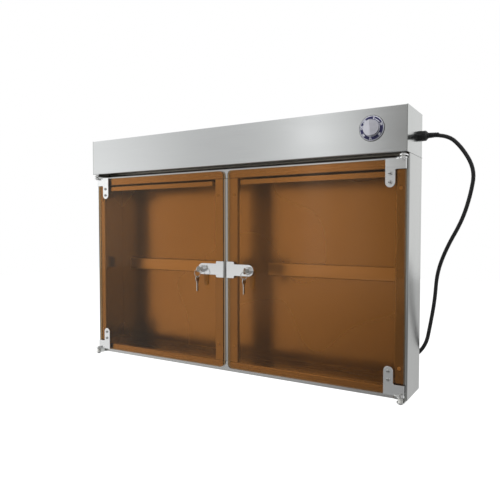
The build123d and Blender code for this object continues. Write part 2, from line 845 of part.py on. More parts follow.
def make_hook_rail():
    """Hook on the cabinet's back that drops behind the trough's lip."""
    outline = [
        (rear + 12, hook_shelf + rail_sheet + fit),
        (rear + 12, hook_lip_high + rail_sheet),
        (rear - sheet, hook_lip_high + rail_sheet),
        (rear - sheet, hook_lip_high - 42),
    ]
    return folded(outline, rail_sheet, PROFILE_X, -rail_half, rail_half)


def make_wall_rail_lower():
    """Channel that holds the cabinet's foot off the wall; the spare cord lies on its ledge."""
    outline = [
        (0, ledge_z - rail_height),
        (0, ledge_z),
        (rear - sheet, ledge_z),
        (rear - sheet, ledge_z - rail_height),
    ]
    return drill_rail(folded(outline, rail_sheet, PROFILE_X, -rail_half, rail_half), -hole_z)


def make_rail_screws():
    """Pan-head screws that hold the hook and the lower channel to the back panel."""
    screws = []
    seat = rear - sheet + rail_sheet
    for z in (hook_lip_high - 28, ledge_z - rail_height / 2):
        for x in (100, 300):
            head = rod("y", (x, 0, z), 4.2, seat, seat + 2.4)
            head = fillet(head.edges().group_by(Axis.Y)[-1], 1.4)
            for wide, tall in ((4.6, 0.9), (0.9, 4.6)):
                head -= block(
                    x - wide / 2, x + wide / 2, seat + 1.2, seat + 3, z - tall / 2, z + tall / 2
                )
            screws += both_sides(head)
    return group(screws)


# Mains cord

def make_cable_gland():
    """Gland on the head's right end: hexagon, dome nut with grip flats, and the nut inside."""
    spot = (0, gland_y, gland_z)
    across = Plane(origin=(half, gland_y, gland_z), x_dir=(0, 1, 0), z_dir=(1, 0, 0))
    base = extrude(across * RegularPolygon(gland_radius, 6), amount=5)
    dome = rod("x", spot, gland_radius - 1, half + 5, half + gland_length)
    dome = chamfer(dome.edges().group_by(Axis.X)[-1], 4)
    thread = rod("x", spot, gland_thread_radius, half - sheet - 5, half)
    bore = rod("x", spot, cord_diameter / 2 + 0.3, half - sheet - 6, half + gland_length - 3)
    inside = Plane(origin=(half - sheet - 4, gland_y, gland_z), x_dir=(0, 1, 0), z_dir=(1, 0, 0))
    nut = extrude(inside * (RegularPolygon(gland_radius, 6) - Circle(gland_thread_radius + 0.1)), amount=4)
    for i in range(10):
        angle = radians(36 * i)
        y = gland_y + (gland_radius - 0.4) * cos(angle)
        z = gland_z + (gland_radius - 0.4) * sin(angle)
        dome -= rod("x", (0, y, z), 1.1, half + 6, half + gland_length + 1)
    return group([base + dome + thread - bore, nut])


cord_level = ledge_z + cord_diameter / 2 + ledge_gap
coil_step = (cord_diameter + coil_gap) / 2
coil_back_y = coil_front_y + cord_diameter + coil_gap

drop = gland_z - cord_level

# Points of the visible cord: out of the gland, over and down beside the cabinet, in behind its back edge
cord_points = [
    (half + gland_length, gland_y, gland_z),
    (half + 53, gland_y, gland_z),
    (half + 83.5, gland_y + 5.5, gland_z - 0.054 * drop),
    (half + 110, gland_y + 12, gland_z - 0.15 * drop),
    (half + 102.5, gland_y + 19, gland_z - 0.244 * drop),
    (half + 85, gland_y + 26, gland_z - 0.358 * drop),
    (half + 52.5, gland_y + 32.5, gland_z - 0.474 * drop),
    (half + 31, gland_y + 39.5, gland_z - 0.586 * drop),
    (half + 27.5, gland_y + 39, gland_z - 0.705 * drop),
    (half + 19, gland_y + 38.5, gland_z - 0.811 * drop),
    (half + 8, gland_y + 40, gland_z - 0.927 * drop),
    (half - 38.5, coil_front_y + 1, cord_level),
    (half - 73, coil_front_y, cord_level),
    (coil_x + cord_diameter, coil_front_y, cord_level),
]

# Points of the short tail from the coil up to the plug's back
plug_level = ledge_z + plug_radius_outer + ledge_gap
tail_start = coil_x - cord_diameter
tail_points = [
    (tail_start, coil_back_y, cord_level),
    (tail_start - 42, coil_back_y, cord_level),
    (tail_start - 84, coil_back_y, plug_level),
    (tail_start - 118, coil_back_y, plug_level),
]


def corner_radii(points):
    """The largest even bend at each corner: 0.45 of its shorter run over the tangent of half the turn."""
    radii = []
    for before, here, after in zip(points, points[1:], points[2:]):
        arriving = Vector(*here) - Vector(*before)
        leaving = Vector(*after) - Vector(*here)
        turn = arriving.get_angle(leaving)
        radii.append(0.45 * min(arriving.length, leaving.length) / tan(radians(turn / 2)))
    return radii


def round_tube(path, start, direction):
    """A cord along a path, and a check of its volume against section times length."""
    section = Plane(origin=start, z_dir=direction) * Circle(cord_diameter / 2)
    tube = sweep(section, path=path)
    expected = pi * cord_diameter ** 2 / 4 * path.length
    print(f"tube length {path.length:.1f}, volume over section times length {tube.volume / expected:.5f}")
    return tube


def make_cord(points):
    radii = corner_radii(points)
    print("bend radii", [round(r) for r in radii])
    path = FilletPolyline(*points, radius=radii)
    direction = Vector(*points[1]) - Vector(*points[0])
    return round_tube(path, points[0], direction)


def coil_half_turns():
    """Half turns of the coil: radius, side, level at its start and end, and depth at its start and end.

    The line spirals in through the front layer, climbs to the back one in its smallest half turn and
    spirals out again.
    """
    inward = [coil_radius - coil_step * i for i in range(4)]
    climb = coil_radius - coil_step * 4
    radii = inward + [climb] + inward[:0:-1]
    turns = []
    level = cord_level
    for i, radius in enumerate(radii):
        rising = i % 2 == 0
        after = level + 2 * radius if rising else level - 2 * radius
        depth_start = coil_front_y if i <= 4 else coil_back_y
        depth_end = coil_front_y if i < 4 else coil_back_y
        side = -1 if rising else 1
        turns.append((radius, side, level, after, depth_start, depth_end))
        level = after
    return turns


def make_coil():
    """The spare length as one unbroken tube in two layers."""
    turns = coil_half_turns()
    edges = [Line((coil_x + cord_diameter, coil_front_y, cord_level), (coil_x, coil_front_y, cord_level))]
    for radius, side, z0, z1, y0, y1 in turns:
        reach = hypot((z1 - z0) / 2, (y1 - y0) / 2)
        middle = (coil_x + side * reach, (y0 + y1) / 2, (z0 + z1) / 2)
        edges.append(ThreePointArc((coil_x, y0, z0), middle, (coil_x, y1, z1)))
    edges.append(Line((coil_x, coil_back_y, cord_level), (coil_x - cord_diameter, coil_back_y, cord_level)))
    path = Wire([edge for line in edges for edge in line.edges()])
    print(f"coil: {len(turns) / 2:.0f} turns, mean diameter {2 * sum(t[0] for t in turns) / len(turns):.0f}")
    print(f"coil: least gap between neighbouring turns {least_gap(edges):.2f}")
    return round_tube(path, (coil_x + cord_diameter, coil_front_y, cord_level), (-1, 0, 0))


def least_gap(edges):
    """Smallest distance between the tube's stretches that lie over a quarter turn apart, on points."""
    samples = []
    along = 0.0
    for edge in edges:
        count = max(2, int(edge.length / 3))
        for i in range(count):
            samples.append((along + edge.length * i / count, edge @ (i / count)))
        along += edge.length
    least = 1e9
    for i, (s, a) in enumerate(samples):
        for t, b in samples[i + 1:]:
            if t - s > 2 * cord_diameter + 40:
                least = min(least, (a - b).length)
    return least - cord_diameter


def make_cord_tie():
    """Strap round the coil's turns at their left side."""
    wires_left = coil_x - coil_radius - cord_diameter / 2 - 0.5
    wires_right = coil_x - coil_radius + 4 * coil_step + cord_diameter / 2 + 0.5
    y0 = coil_front_y - cord_diameter / 2 - 0.4
    y1 = coil_back_y + cord_diameter / 2 + 0.4
    centre = Pos((wires_left + wires_right) / 2, (y0 + y1) / 2)
    wide = wires_right - wires_left
    deep = y1 - y0
    outside = RectangleRounded(wide + 2 * tie_thickness, deep + 2 * tie_thickness, 3.5)
    inside = RectangleRounded(wide, deep, 2.3)
    level = cord_level + coil_radius - tie_width / 2
    return Pos(0, 0, level) * extrude(centre * (outside - inside), amount=tie_width)


def make_plug():
    """Round mains plug with its tapered cord sleeve, side grooves and two pins, lying on the ledge."""
    start = tail_points[-1][0]
    spot = (0, coil_back_y, plug_level)
    sleeve_end = start - 32
    body_end = sleeve_end - 36
    along = Plane(origin=(start, coil_back_y, plug_level), x_dir=(0, 1, 0), z_dir=(-1, 0, 0))
    sleeve = loft([along * Circle(cord_diameter / 2 + 1), along.offset(32) * Circle(8.5)])
    shoulder = loft([along.offset(31) * Circle(8.5), along.offset(43) * Circle(plug_radius_outer)])
    body = rod("x", spot, plug_radius_outer, body_end, sleeve_end - 11)
    body = chamfer(body.edges().group_by(Axis.X)[0], 1)
    plug = sleeve + shoulder + body
    for side in (-1, 1):
        z = plug_level + side * plug_radius_outer
        plug -= block(body_end - 1, sleeve_end - 14, coil_back_y - 4, coil_back_y + 4, z - 3, z + 3)
    for y in (coil_back_y - 9.5, coil_back_y + 9.5):
        pin = rod("x", (0, y, plug_level), 2.4, body_end - 19, body_end)
        plug += fillet(pin.edges().group_by(Axis.X)[0], 1)
    return plug


os.makedirs("parts", exist_ok=True)


def save(name, shape):
    """Writes one node."""
    export_step(shape, f"parts/{name}.step")
    print(name, len(shape.solids()))


def save_pair(name, shape):
    """Writes a right-hand piece and its left-hand mirror image as two nodes."""
    save(name + "_right", shape)
    save(name + "_left", mirror(shape, about=Plane.YZ))


save("back_panel", make_back_panel())
save("rear_liner", make_rear_liner())
save_pair("side_wall", make_side_wall())
save("bottom_pan", make_bottom_pan())
save("ceiling_panel", make_ceiling())
save("centre_mullion", make_mullion())
save("head_shell", make_head_shell())
save("head_end_right", make_head_end(True))
save("head_end_left", mirror(make_head_end(False), about=Plane.YZ))
save("slot_spacer", make_slot_spacer())
save("ballasts", group([make_ballast(-150), make_ballast(0)]))
save("starters", group([make_starter(110), make_starter(150)]))
save("terminal_block", make_terminal_block())
save("timer_body", make_timer_body())
save("timer_dial", make_timer_dial())
save("timer_knob", make_timer_knob())
save("hinge_plates_top", group(both_sides(make_hinge_plate(top_plate_low))))
save("hinge_plates_bottom", group(both_sides(make_hinge_plate(bottom_plate_low))))
save("pivot_screws", make_pivot_screws())
save("pivot_bushes", make_pivot_bushes())
save("door_bumpers", make_bumpers())
save_pair("door_panel", make_door_panel())
save_pair("door_brackets", group([make_door_bracket(top_tab_high, -1), make_door_bracket(bottom_tab_low, 1)]))
save_pair("bracket_screws", make_bracket_screws())
save_pair("lock_plate", make_lock_plate())
save_pair("lock_housing", make_lock_housing())
save_pair("lock_plug", make_lock_plug())
save_pair("lock_cam", make_lock_cam())
save_pair("key", make_key())
save_pair("key_ring", make_key_ring())
save_pair("lamp_shade", make_lamp_shade())
save_pair("uv_lamp", make_lamp())
save("lamp_holders", make_lamp_holders())
save_pair("knife_bar", make_knife_bar())
save("bar_magnets", make_bar_magnets())
save("bar_standoffs", make_bar_standoffs())
save("wall_rail_upper", make_wall_rail_upper())
save("hook_rail", make_hook_rail())
save("wall_rail_lower", make_wall_rail_lower())
save("rail_screws", make_rail_screws())
save("cable_gland", make_cable_gland())
save("power_cord", make_cord(cord_points))
save("cord_coil", make_coil())
save("cord_tail", make_cord(tail_points))
save("cord_tie", make_cord_tie())
save("plug", make_plug())
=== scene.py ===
# %% [markdown]
# # A knife sterilizer cabinet
#
# The cabinet hangs on a wall: a brushed steel head with a timer, and below it two compartments behind
# amber doors. The solid parts come from a finished model. This lesson sets the camera, lays the mains
# cord, gives every part its finish and adds the small pieces that only a close look would show.

# %% Load the solid parts
import math

import bmesh
import bpy
from mathutils import Matrix, Vector


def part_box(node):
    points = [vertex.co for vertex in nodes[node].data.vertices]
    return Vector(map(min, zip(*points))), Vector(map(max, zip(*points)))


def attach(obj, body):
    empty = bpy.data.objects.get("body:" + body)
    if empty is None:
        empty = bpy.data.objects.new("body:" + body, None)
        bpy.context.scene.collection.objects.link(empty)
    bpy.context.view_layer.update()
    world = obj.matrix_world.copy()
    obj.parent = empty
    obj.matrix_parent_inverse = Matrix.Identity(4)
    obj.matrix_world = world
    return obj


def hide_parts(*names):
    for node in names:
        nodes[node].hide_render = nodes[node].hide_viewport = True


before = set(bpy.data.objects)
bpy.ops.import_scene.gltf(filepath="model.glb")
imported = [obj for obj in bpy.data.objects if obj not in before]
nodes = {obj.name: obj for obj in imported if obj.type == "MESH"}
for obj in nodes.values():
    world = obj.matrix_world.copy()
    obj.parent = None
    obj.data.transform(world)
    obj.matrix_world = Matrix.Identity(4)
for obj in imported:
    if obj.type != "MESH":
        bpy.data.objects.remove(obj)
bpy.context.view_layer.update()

# %% [markdown]
# ## The camera
#
# A camera can be placed by eye or worked out from the picture. The second way is exact: the known edges
# of a box seen in perspective give one standing point, one direction and one focal length. Here the
# camera stands to the right of the middle, a little above it, and looks back to the left.

# %% Camera
def make_camera(place, turned_left, tilted_down, lens):
    data = bpy.data.cameras.new("camera")
    data.sensor_width = 36
    data.lens = lens
    camera = bpy.data.objects.new("camera", data)
    bpy.context.scene.collection.objects.link(camera)
    yaw, pitch = math.radians(turned_left), math.radians(tilted_down)
    looking = Vector((-math.sin(yaw) * math.cos(pitch), math.cos(yaw) * math.cos(pitch), -math.sin(pitch)))
    camera.location = place
    camera.rotation_mode = "QUATERNION"
    camera.rotation_quaternion = looking.to_track_quat("-Z", "Y")
    bpy.context.scene.camera = camera
    return camera


camera = make_camera(place=(0.7258, -1.2428, 0.0535), turned_left=31.02, tilted_down=2.304, lens=37.76)
print("camera at", tuple(round(v, 3) for v in camera.location), "lens", camera.data.lens)

# %% [markdown]
# ## The mains cord
#
# A cord is one flexible line of a fixed length. A curve with a round bevel is the natural way to make
# it, because the line can be reshaped at any time. Its points lie where a hand would bend the cord: out
# of the gland, over, down beside the cabinet and in behind it, where the spare length lies coiled on the
# lower wall channel.

# %% Way down beside the cabinet
cord_diameter = 0.0085
cord_level = -0.2554
coil_front_y = -0.029

route_down = [
    (0.466, -0.063, 0.2555),
    (0.503, -0.063, 0.2555),
    (0.5335, -0.0575, 0.2279),
    (0.560, -0.051, 0.1789),
    (0.5525, -0.044, 0.1308),
    (0.535, -0.037, 0.0726),
    (0.5025, -0.0305, 0.0133),
    (0.481, -0.0235, -0.0439),
    (0.4775, -0.024, -0.1047),
    (0.469, -0.0245, -0.1588),
    (0.458, -0.023, -0.2181),
    (0.4115, -0.028, cord_level),
    (0.377, -0.029, cord_level),
    (0.3385, coil_front_y, cord_level),
]
print("points on the way down:", len(route_down))

# %% [markdown]
# ## The coil
#
# The spare length could be drawn as stacked rings, but a real coil is one unbroken line. So it is built
# from half turns that share a tangent: they shrink inwards in the front layer, cross over in the smallest
# half turn, and grow again in the back layer.

# %% Coil and tail
coil_centre_x = 0.330
coil_back_y = -0.020
coil_radius = 0.052
coil_step = 0.0045
plug_level = -0.24115


def coil_points(largest, step, steps_in_half_turn=8):
    """Points round the coil, one half turn after another."""
    radii = [largest - step * i for i in (0, 1, 2, 3, 4, 3, 2, 1)]
    smallest = 4
    points, level = [], cord_level
    for i, radius in enumerate(radii):
        rising = 1 if i % 2 == 0 else -1
        middle = level + rising * radius
        y_start = coil_front_y if i <= smallest else coil_back_y
        y_end = coil_front_y if i < smallest else coil_back_y
        outside = radius / math.cos(math.pi / steps_in_half_turn / 2)
        for k in range(steps_in_half_turn):
            share = (k + 0.5) / steps_in_half_turn
            angle = math.pi * share
            points.append((
                coil_centre_x - rising * outside * math.sin(angle),
                y_start + (y_end - y_start) * share,
                middle - rising * outside * math.cos(angle),
            ))
        level += 2 * rising * radius
    return points


route_tail = [
    (0.3215, coil_back_y, cord_level),
    (0.2795, coil_back_y, cord_level),
    (0.2375, coil_back_y, plug_level),
    (0.2035, coil_back_y, plug_level),
]
route = route_down + coil_points(coil_radius, coil_step) + route_tail
print("cord route points:", len(route))

# %% [markdown]
# ## From route to cord
#
# The curve is a spline of low order, so it keeps close to its points and rounds the corners by itself.
# Each point carries the cord's radius, which the bevel then takes at full size. A chain of swept pieces
# would do too, but one curve leaves no joints to see.

# %% Cord curve
def cord_curve(name, points, diameter):
    data = bpy.data.curves.new(name, "CURVE")
    data.dimensions = "3D"
    spline = data.splines.new("NURBS")
    spline.points.add(len(points) - 1)
    for point, place in zip(spline.points, points):
        point.co = (*place, 1)
        point.radius = diameter / 2
    spline.order_u = 3
    spline.use_endpoint_u = True
    spline.resolution_u = 6
    data.bevel_depth = 1.0
    data.bevel_resolution = 5
    data.use_fill_caps = True
    curve = bpy.data.objects.new(name, data)
    bpy.context.scene.collection.objects.link(curve)
    return curve


mains_cord = cord_curve("mains_cord", route, cord_diameter)
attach(mains_cord, "cabinet")
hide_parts("power_cord", "cord_coil", "cord_tail")
print("cord of", cord_diameter * 1000, "mm from the gland to the plug")

# %% [markdown]
# ## Small helpers for node trees
#
# Every finish below is a small tree of shader nodes. Made one by one in the node editor they are quick
# to try out; in a script, one function that makes a node, sets it and wires it keeps each tree to a few
# lines that can be read in the order in which the light meets them.

# %% Node helpers
def linked(tree, kind, inputs=None, **settings):
    """A node with its settings and inputs, where an input is a value or another node's output."""
    node = tree.nodes.new(kind)
    for key, value in settings.items():
        setattr(node, key, value)
    for key, value in (inputs or {}).items():
        if isinstance(value, bpy.types.NodeSocket):
            tree.links.new(value, node.inputs[key])
        else:
            node.inputs[key].default_value = value
    return node


def calculate(tree, operation, one, two=None):
    """The result of one step of arithmetic."""
    inputs = {0: one} if two is None else {0: one, 1: two}
    return linked(tree, "ShaderNodeMath", inputs, operation=operation).outputs["Value"]


def map_value(tree, value, low, high, start=0.3, end=0.7):
    """The value between two places, spread to the range from low to high."""
    span = {"Value": value, "From Min": start, "From Max": end, "To Min": low, "To Max": high}
    return linked(tree, "ShaderNodeMapRange", span).outputs["Result"]


def blend_colours(tree, factor, a, b):
    """A mix of two colours, each given as red, green and blue or as a node's output."""
    a, b = (c if isinstance(c, bpy.types.NodeSocket) else (*c, 1) for c in (a, b))
    node = linked(tree, "ShaderNodeMix", {"Factor": factor, "A": a, "B": b}, data_type="RGBA")
    return node.outputs["Result"]


def ramp(tree, factor, stops):
    """A colour ramp from (place, grey or colour) stops."""
    node = linked(tree, "ShaderNodeValToRGB", {"Fac": factor})
    points = node.color_ramp.elements
    while len(points) < len(stops):
        points.new(0.5)
    for point, (place, colour) in zip(points, stops):
        point.position = place
        point.color = (*([colour] * 3 if isinstance(colour, (int, float)) else colour), 1)
    return node.outputs["Color"]


print("node helpers ready")

# %% [markdown]
# ## Light
#
# Polished sheet has almost no colour of its own: it shows what stands round it. So the studio matters
# more than the lamps. A white room to the left and a dimmer one straight in front give the long, slow
# fade that runs along the head. It could be built from cards, but a world whose brightness depends on
# direction does the same with no object to hide. The camera itself sees plain white.

# %% Studio world
def seen_directly(tree):
    """1 for the camera's own view, also through clear plastic, and 0 for light and for reflections."""
    rays = linked(tree, "ShaderNodeLightPath").outputs
    unmirrored = calculate(tree, "LESS_THAN", rays["Glossy Depth"], 0.5)
    through = calculate(tree, "MULTIPLY", rays["Is Transmission Ray"], unmirrored)
    return calculate(tree, "MAXIMUM", rays["Is Camera Ray"], through)


# (place from far left 0 to far right 1, brightness or colour)
FAR_LEFT_TO_FAR_RIGHT = [
    (0.00, 1.0), (0.140, 0.98), (0.158, 0.86), (0.170, 0.84), (0.185, 0.70), (0.205, 0.60),
    (0.240, 0.60), (0.270, 0.68), (0.284, 0.82), (0.294, 1.20), (0.304, 1.12), (0.314, 0.80),
    (0.334, 0.76), (0.344, 0.60), (0.356, 0.40), (0.376, (0.29, 0.285, 0.275)),
    (0.47, (0.33, 0.32, 0.30)), (0.60, 0.46), (0.90, 0.54),
]
BEHIND_THE_WALL = (0.9, 0.9, 0.9)
WHITE = (1, 1, 1)


def studio_world(name):
    world = bpy.data.worlds.new(name)
    bpy.context.scene.world = world
    world.use_nodes = True
    tree = world.node_tree
    tree.nodes.clear()
    direction = linked(tree, "ShaderNodeTexCoord").outputs["Generated"]
    parts = linked(tree, "ShaderNodeSeparateXYZ", {"Vector": direction}).outputs
    across = ramp(tree, map_value(tree, parts["X"], 0, 1, start=-1, end=1), FAR_LEFT_TO_FAR_RIGHT)
    behind = map_value(tree, parts["Y"], 0, 1, start=-0.2, end=0.35)
    room = blend_colours(tree, behind, across, BEHIND_THE_WALL)
    shown = blend_colours(tree, seen_directly(tree), room, WHITE)
    light = linked(tree, "ShaderNodeBackground", {"Color": shown, "Strength": 1.0})
    linked(tree, "ShaderNodeOutputWorld", {"Surface": light.outputs["Background"]})
    return world


studio = studio_world("studio")
bpy.context.scene.view_settings.view_transform = "Standard"
print("world:", studio.name, "with", len(FAR_LEFT_TO_FAR_RIGHT), "stops from left to right")

# %% [markdown]
# ## Lamps
#
# Two soft lamps give the direction that a plain world lacks: small shadows under the screws and under the
# cabinet. A sun or a spot would do that too, with harder edges than a studio has. They light paint and
# plastic only. In polished steel their squares would show as hard white patches, so mirrors see the room
# alone.

# %% Soft lamps
def softbox(name, place, size, watts, target=(0, -0.1, 0)):
    data = bpy.data.lights.new(name, "AREA")
    data.shape = "RECTANGLE"
    data.size, data.size_y = size
    data.energy = watts
    lamp = bpy.data.objects.new(name, data)
    bpy.context.scene.collection.objects.link(lamp)
    lamp.location = place
    lamp.visible_glossy = False
    lamp.visible_transmission = False
    lamp.rotation_mode = "QUATERNION"
    lamp.rotation_quaternion = (Vector(target) - Vector(place)).to_track_quat("-Z", "Y")
    return lamp


softbox("softbox_left", place=(-1.9, -2.2, 1.0), size=(1.4, 1.4), watts=40)
softbox("softbox_top", place=(0.4, -1.2, 2.2), size=(1.6, 1.0), watts=22)

# %% [markdown]
# ## Floor
#
# The floor is white in the picture, yet it still has to darken under the cabinet. Emission alone would
# lose the shadow and plain paint would turn grey, so the two are added: a pale diffuse coat over a glow
# that only the camera, mirrors and clear plastics see. In a mirror the glow fades to the right, as the
# studio does.

# %% Floor paint
FLOOR_GLOW = 0.92


def white_floor_paint():
    paint = bpy.data.materials.new("white_floor")
    paint.use_nodes = True
    tree = paint.node_tree
    tree.nodes.clear()
    rays = linked(tree, "ShaderNodeLightPath").outputs
    seen = calculate(tree, "MAXIMUM", rays["Is Camera Ray"], rays["Is Glossy Ray"])
    seen = calculate(tree, "MAXIMUM", seen, rays["Is Transmission Ray"])
    place = linked(tree, "ShaderNodeTexCoord").outputs["Object"]
    spot = linked(tree, "ShaderNodeSeparateXYZ", {"Vector": place}).outputs
    left = map_value(tree, spot["X"], 0.02, 0.56, start=-0.3, end=-2.6)
    behind = map_value(tree, spot["Y"], 0.0, 0.45, start=-0.2, end=0.5)
    mirrored = calculate(tree, "MAXIMUM", left, behind)
    glow = linked(
        tree, "ShaderNodeMix", {0: seen_directly(tree), 2: mirrored, 3: FLOOR_GLOW}, data_type="FLOAT",
    )
    strength = calculate(tree, "MULTIPLY", seen, glow.outputs[0])
    shine = linked(tree, "ShaderNodeEmission", {"Color": (*WHITE, 1), "Strength": strength})
    coat = linked(tree, "ShaderNodeBsdfDiffuse", {"Color": (0.24, 0.24, 0.24, 1)})
    both = linked(tree, "ShaderNodeAddShader", {0: coat.outputs["BSDF"], 1: shine.outputs["Emission"]})
    linked(tree, "ShaderNodeOutputMaterial", {"Surface": both.outputs["Shader"]})
    return paint


floor_paint = white_floor_paint()
print("floor paint:", floor_paint.name)

# %% [markdown]
# The floor itself is a flat grid, far larger than the picture so that its edge never shows, and well
# below the cabinet, which hangs on a wall that isn't there.

# %% Floor sheet
def make_floor(level, size):
    mesh = bpy.data.meshes.new("floor")
    b = bmesh.new()
    bmesh.ops.create_grid(b, x_segments=8, y_segments=8, size=size)
    b.to_mesh(mesh)
    b.free()
    mesh.materials.append(floor_paint)
    floor = bpy.data.objects.new("floor", mesh)
    floor.location = (0, 0, level)
    bpy.context.scene.collection.objects.link(floor)
    return floor


floor = make_floor(level=-0.9, size=9)
print("floor at", round(floor.location.z, 3))

# %% [markdown]
# ## Steel
#
# Brushing leaves fine parallel scratches. A stretched noise stands for them: almost constant along the
# grain and changing many times a millimetre across it. It drives the roughness, the tone and a very
# small bump, and a second, broad noise clouds the gloss as handling does. An image of scratches would
# repeat itself; a noise never does.

# %% Brushed and plain steel
# Noise cells per metre along X, Y and Z, by the direction in which the sheet was brushed
GRAIN = {"x": (9, 1900, 1900), "z": (1900, 1900, 9)}
CLOUD = {"x": (1.5, 14, 14), "z": (14, 14, 1.5)}
HANDLING = 0.04  # how far touching and wiping drift the gloss


def principled(name, colour, roughness, metallic=0.0, **more):
    material = bpy.data.materials.new(name)
    material.use_nodes = True
    shader = material.node_tree.nodes["Principled BSDF"]
    shader.inputs["Base Color"].default_value = (*colour, 1)
    shader.inputs["Roughness"].default_value = roughness
    shader.inputs["Metallic"].default_value = metallic
    for key, value in more.items():
        shader.inputs[key.replace("_", " ")].default_value = value
    return material, shader


def noise(tree, stretch, scale=1.0, detail=2.0):
    place = linked(tree, "ShaderNodeTexCoord").outputs["Object"]
    mapped = linked(tree, "ShaderNodeMapping", {"Vector": place, "Scale": stretch})
    spread = {"Vector": mapped.outputs["Vector"], "Scale": scale, "Detail": detail}
    return linked(tree, "ShaderNodeTexNoise", spread).outputs["Fac"]


def scaled(colour, share):
    return tuple(min(1, v * share) for v in colour)


def brushed(name, tone, roughness, grain="x", scratch=0.08, stretch=0.75, relief=0.10):
    """Steel scratched along one direction, which spreads its reflections across the scratches."""
    material, shader = principled(name, tone, roughness, 1.0)
    tree = material.node_tree
    lines = noise(tree, GRAIN[grain], detail=3)
    clouds = noise(tree, CLOUD[grain], detail=4)
    swing = 0.8 * relief
    tint = blend_colours(
        tree, map_value(tree, lines, 0, 1), scaled(tone, 1 - swing), scaled(tone, 1 + swing * 0.6),
    )
    tree.links.new(tint, shader.inputs["Base Color"])
    fine = map_value(tree, lines, roughness - scratch / 2, roughness + scratch / 2)
    broad = map_value(tree, clouds, -HANDLING, HANDLING)
    tree.links.new(calculate(tree, "ADD", fine, broad), shader.inputs["Roughness"])
    along = linked(tree, "ShaderNodeTangent", direction_type="RADIAL", axis="Z")
    tree.links.new(along.outputs["Tangent"], shader.inputs["Tangent"])
    shader.inputs["Anisotropic"].default_value = stretch
    shader.inputs["Anisotropic Rotation"].default_value = 0.0 if grain == "z" else 0.25
    bump = linked(tree, "ShaderNodeBump", {"Height": lines, "Strength": relief, "Distance": 0.0001})
    tree.links.new(bump.outputs["Normal"], shader.inputs["Normal"])
    return material


def mill_finish(name, tone, roughness, drift):
    """Steel as it leaves the mill: no scratches, only slow clouds in its gloss and its tone."""
    material, shader = principled(name, tone, roughness, 1.0)
    tree = material.node_tree
    clouds = noise(tree, (4, 4, 4), detail=0)
    gloss = map_value(tree, clouds, roughness - drift, roughness + drift, 0.1, 0.9)
    tree.links.new(gloss, shader.inputs["Roughness"])
    slow = map_value(tree, clouds, 0, 1, 0.1, 0.9)
    tint = blend_colours(tree, slow, scaled(tone, 0.97), scaled(tone, 1.03))
    tree.links.new(tint, shader.inputs["Base Color"])
    return material


print("grain directions:", sorted(GRAIN))

# %% [markdown]
# ## The steels of this cabinet
#
# The sheets are brushed lengthwise, the upright ones along their height. They differ only in grain,
# polish and tone, so one function serves them all. The inner back wall alone keeps its mill finish: its
# scratches would be finer than a pixel and would only shimmer behind the doors.

# %% Make the steels
head_steel = brushed("head_steel", (0.74, 0.755, 0.755), 0.20, scratch=0.05, relief=0.05)
end_steel = brushed("end_steel", (0.55, 0.565, 0.555), 0.16, "z", scratch=0.05, stretch=0.4)
front_steel = brushed("front_steel", (0.62, 0.615, 0.605), 0.26, relief=0.04)
side_steel = brushed("side_steel", (0.535, 0.545, 0.535), 0.19, "z", scratch=0.06, stretch=0.4)
mullion_steel = brushed("mullion_steel", (0.70, 0.69, 0.67), 0.36, "z", relief=0.04)
liner_steel = mill_finish("liner_steel", (0.67, 0.655, 0.63), 0.27, 0.03)
shade_steel = brushed("shade_steel", (0.62, 0.615, 0.605), 0.22, scratch=0.03, relief=0.03)
slot_steel = brushed("slot_steel", (0.60, 0.54, 0.46), 0.35)
back_steel = brushed("back_steel", (0.55, 0.56, 0.56), 0.38)
plate_steel = brushed("plate_steel", (0.95, 0.96, 0.96), 0.17, scratch=0.05, stretch=0.3, relief=0.06)
bar_steel = brushed("bar_steel", (0.87, 0.855, 0.83), 0.32, scratch=0.03, stretch=0.3, relief=0.03)
print("steels:", sum(1 for m in bpy.data.materials if "steel" in m.name))

# %% [markdown]
# ## Amber acrylic
#
# The doors are clear acrylic dyed amber, which stops the ultraviolet light. As glass with a tint it
# bends and reflects light properly. Light that only passes through on its way to a surface inside would
# be lost in noise, so for shadows and diffuse bounces the sheet acts as a plain amber filter. Its index
# is a little under real acrylic's, which keeps the studio from veiling the dark compartments.

# %% Acrylic
def acrylic(name, tint, edge):
    """Clear sheet that lets tinted light through its broad faces; its edges get a painted shade, nearly black.
    """
    material, shader = principled(name, tint, 0.02, Transmission_Weight=1.0, IOR=1.30)
    tree = material.node_tree
    smears = noise(tree, (6, 6, 9), detail=1)
    tree.links.new(map_value(tree, smears, 0.012, 0.030, 0.1, 0.9), shader.inputs["Roughness"])
    dye = map_value(tree, noise(tree, (3, 3, 3), detail=0), 0, 1, 0.1, 0.9)
    tree.links.new(blend_colours(tree, dye, tint, scaled(tint, 0.96)), shader.inputs["Base Color"])
    rays = linked(tree, "ShaderNodeLightPath").outputs
    passing = calculate(tree, "MAXIMUM", rays["Is Shadow Ray"], rays["Is Diffuse Ray"])
    one_face = tuple(math.sqrt(v) for v in tint)
    filter_only = linked(tree, "ShaderNodeBsdfTransparent", {"Color": (*one_face, 1)})
    both = linked(
        tree, "ShaderNodeMixShader", {0: passing, 1: shader.outputs["BSDF"], 2: filter_only.outputs["BSDF"]},
    )
    # Painted shade: faces across the sheet's thickness turn opaque and nearly black, for light lost along the
    # edge
    facing = linked(tree, "ShaderNodeTexCoord").outputs["Normal"]
    depth = linked(tree, "ShaderNodeSeparateXYZ", {"Vector": facing}).outputs["Y"]
    edge_shade_mask = map_value(tree, calculate(tree, "ABSOLUTE", depth), 0, 1, start=0.35, end=0.2)
    painted_edge_shade = linked(tree, "ShaderNodeBsdfPrincipled", {"Base Color": (*edge, 1), "Roughness": 0.12})
    whole = linked(tree, "ShaderNodeMixShader", {0: edge_shade_mask, 1: both.outputs["Shader"], 2: painted_edge_shade.outputs["BSDF"]})
    tree.links.new(whole.outputs["Shader"], tree.nodes["Material Output"].inputs["Surface"])
    return material
